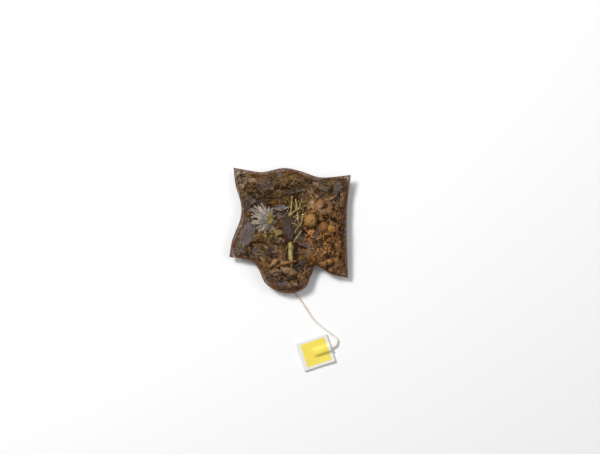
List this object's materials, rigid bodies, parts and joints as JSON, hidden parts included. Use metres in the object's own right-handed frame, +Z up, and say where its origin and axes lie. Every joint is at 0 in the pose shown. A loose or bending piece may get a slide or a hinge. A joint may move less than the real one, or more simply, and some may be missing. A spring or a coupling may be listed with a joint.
{
  "type": "used tea bag",
  "caption": "Collapsed sheer mesh tea bag, wet and full of leaves, stalks, berries and a flower head, with its cotton string and folded card tag.",
  "frame": {"origin": "under the middle of the pouch, on the surface that it lies on", "axes": "+Z up from that surface, +Y away from the tag, towards the pouch's straight upper edge"},
  "size_m": [0.0514, 0.0874, 0.012],
  "materials": {
    "mesh": "satin",
    "fines": "matte",
    "leaf_dark": "satin",
    "leaf_olive": "satin",
    "leaf_tan": "satin",
    "leaf_slate": "gloss",
    "petal": "satin",
    "stalk_pale": "satin",
    "stalk_brown": "satin",
    "hip": "gloss",
    "berry_tan": "gloss",
    "berry_orange": "gloss",
    "string": "matte",
    "card": "matte"
  },
  "bodies": {
    "root": {"mesh_pouch": "mesh", "leaf_fines": "fines", "leaf_under_left": "leaf_dark", "leaf_under_right": "leaf_dark", "leaf_under_top": "leaf_dark", "leaf_under_lobe": "leaf_dark", "leaf_corner_a": "leaf_olive", "leaf_corner_b": "leaf_dark", "leaf_corner_c": "leaf_tan", "leaf_corner_d": "leaf_olive", "leaf_lobe_tip": "leaf_tan", "leaf_lobe_left": "leaf_tan", "leaf_lobe_right": "leaf_slate", "leaf_right_edge": "leaf_tan", "leaf_right_low": "leaf_tan", "leaf_top_right": "leaf_dark", "leaf_top_middle": "leaf_olive", "leaf_top_crest": "leaf_tan", "leaf_top_left": "leaf_dark", "leaf_rolled_top": "leaf_dark", "leaf_upper_left": "leaf_slate", "leaf_grey_left": "leaf_slate", "leaf_middle_low": "leaf_slate", "leaf_belly": "leaf_slate", "leaf_olive_middle": "leaf_olive", "leaf_band": "leaf_slate", "leaf_lobe_olive": "leaf_olive", "leaf_lobe_grey": "leaf_slate", "leaf_tan_right": "leaf_tan", "leaf_dark_right": "leaf_dark", "leaf_olive_right": "leaf_olive", "leaf_grey_upper": "leaf_slate", "leaf_curled_top": "leaf_slate", "leaf_blue_small": "leaf_slate", "leaf_slate_middle": "leaf_slate", "leaf_dark_oval": "leaf_dark", "flower_head": "petal", "stalk_flat": "stalk_pale", "stalk_upright_a": "stalk_pale", "stalk_upright_b": "stalk_pale", "stalk_across": "stalk_pale", "stalk_thin": "stalk_pale", "stick_lobe": "stalk_brown", "stick_lobe_across": "stalk_brown", "stick_left": "stalk_brown", "stick_right": "stalk_brown", "stick_top": "stalk_brown", "hip_shell": "hip", "berry_large": "berry_tan", "berry_dark": "hip", "berry_small_a": "berry_orange", "berry_small_b": "berry_orange", "berry_small_c": "berry_orange", "string": "string", "tag": "card"}
  },
  "joints": []
}
